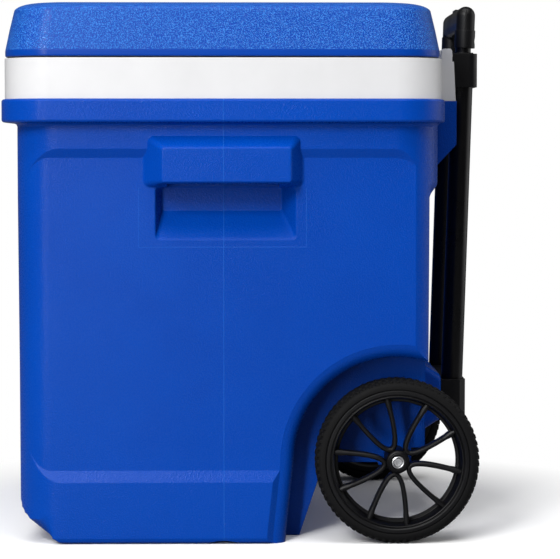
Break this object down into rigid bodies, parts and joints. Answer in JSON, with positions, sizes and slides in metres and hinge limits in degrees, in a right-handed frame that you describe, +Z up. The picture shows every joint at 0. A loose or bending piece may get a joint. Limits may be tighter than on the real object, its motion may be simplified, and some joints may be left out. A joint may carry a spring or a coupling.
{
  "type": "wheeled cooler",
  "caption": "Insulated cooler with a hinged lid, side grab handles, a telescoping pull handle behind and wheels at its rear lower corners.",
  "frame": {"origin": "on the floor, in the middle of the whole cooler's box seen from above", "axes": "X across the width, +Y back towards the pull handle, +Z up; the front with no handle faces -Y"},
  "size_m": [0.536, 0.496, 0.553],
  "materials": {
    "blue_plastic": "moulded polyethylene with a fine grain",
    "white_plastic": "moulded, smooth",
    "black_plastic": "moulded, satin",
    "tyre_rubber": "matt",
    "black_tube": "powder coated steel tube",
    "steel": "zinc plated",
    "foam": "foamed in place",
    "seal_rubber": "smooth"
  },
  "bodies": {
    "body": {"outer_shell": "blue_plastic", "inner_liner": "white_plastic", "body_foam": "foam", "hinge_pins": "steel", "axle": "steel", "axle_spacers": "black_plastic", "left_axle_nut": "steel", "right_axle_nut": "steel", "handle_collar": "black_plastic", "collar_screws": "steel", "bottom_bracket": "black_plastic", "bracket_screws": "steel", "left_outer_tube": "black_tube", "right_outer_tube": "black_tube", "left_glide_bush": "black_plastic", "right_glide_bush": "black_plastic", "drain_spout": "white_plastic", "drain_nut": "white_plastic", "drain_washer": "seal_rubber"},
    "lid": {"lid_top": "blue_plastic", "lid_liner": "white_plastic", "lid_foam": "foam", "left_lid_hinge": "white_plastic", "right_lid_hinge": "white_plastic", "lid_hinge_screws": "steel"},
    "handle": {"left_inner_tube": "black_tube", "right_inner_tube": "black_tube", "left_tube_glide": "black_plastic", "right_tube_glide": "black_plastic", "grip_front": "black_plastic", "grip_back": "black_plastic", "grip_screws": "steel", "latch_bolts": "steel", "spring_seats": "white_plastic", "button_springs": "steel"},
    "button": {"release_button": "black_plastic", "latch_yoke": "white_plastic", "latch_rods": "steel"},
    "left_wheel": {"left_wheel": "black_plastic", "left_tyre": "tyre_rubber"},
    "right_wheel": {"right_wheel": "black_plastic", "right_tyre": "tyre_rubber"},
    "drain_cap": {"drain_cap": "black_plastic", "drain_cap_seal": "seal_rubber"}
  },
  "joints": [
    {"name": "lid_hinge", "type": "hinge", "parent": "body", "child": "lid", "pos_m": [0, 0.212, 0.498], "axis": [1, 0, 0], "range_deg": [-90, 0]},
    {"name": "handle_slide", "type": "slide", "parent": "body", "child": "handle", "axis": [0, 0.0309, 0.9995], "range_m": [0, 0.286]},
    {"name": "release_button_press", "type": "slide", "parent": "handle", "child": "button", "axis": [0, -0.0309, -0.9995], "range_m": [0, 0.004], "stiffness_N_per_m": 1500, "springref_m": -0.002, "deforming": ["button_springs"]},
    {"name": "left_wheel_spin", "type": "hinge", "parent": "body", "child": "left_wheel", "pos_m": [-0.229, 0.1544, 0.0835], "axis": [1, 0, 0], "continuous": true},
    {"name": "right_wheel_spin", "type": "hinge", "parent": "body", "child": "right_wheel", "pos_m": [0.229, 0.1544, 0.0835], "axis": [1, 0, 0], "continuous": true},
    {"name": "drain_cap_turn", "type": "hinge", "parent": "body", "child": "drain_cap", "pos_m": [-0.258, -0.06, 0.048], "axis": [-1, 0, 0], "range_deg": [0, 540]}
  ]
}
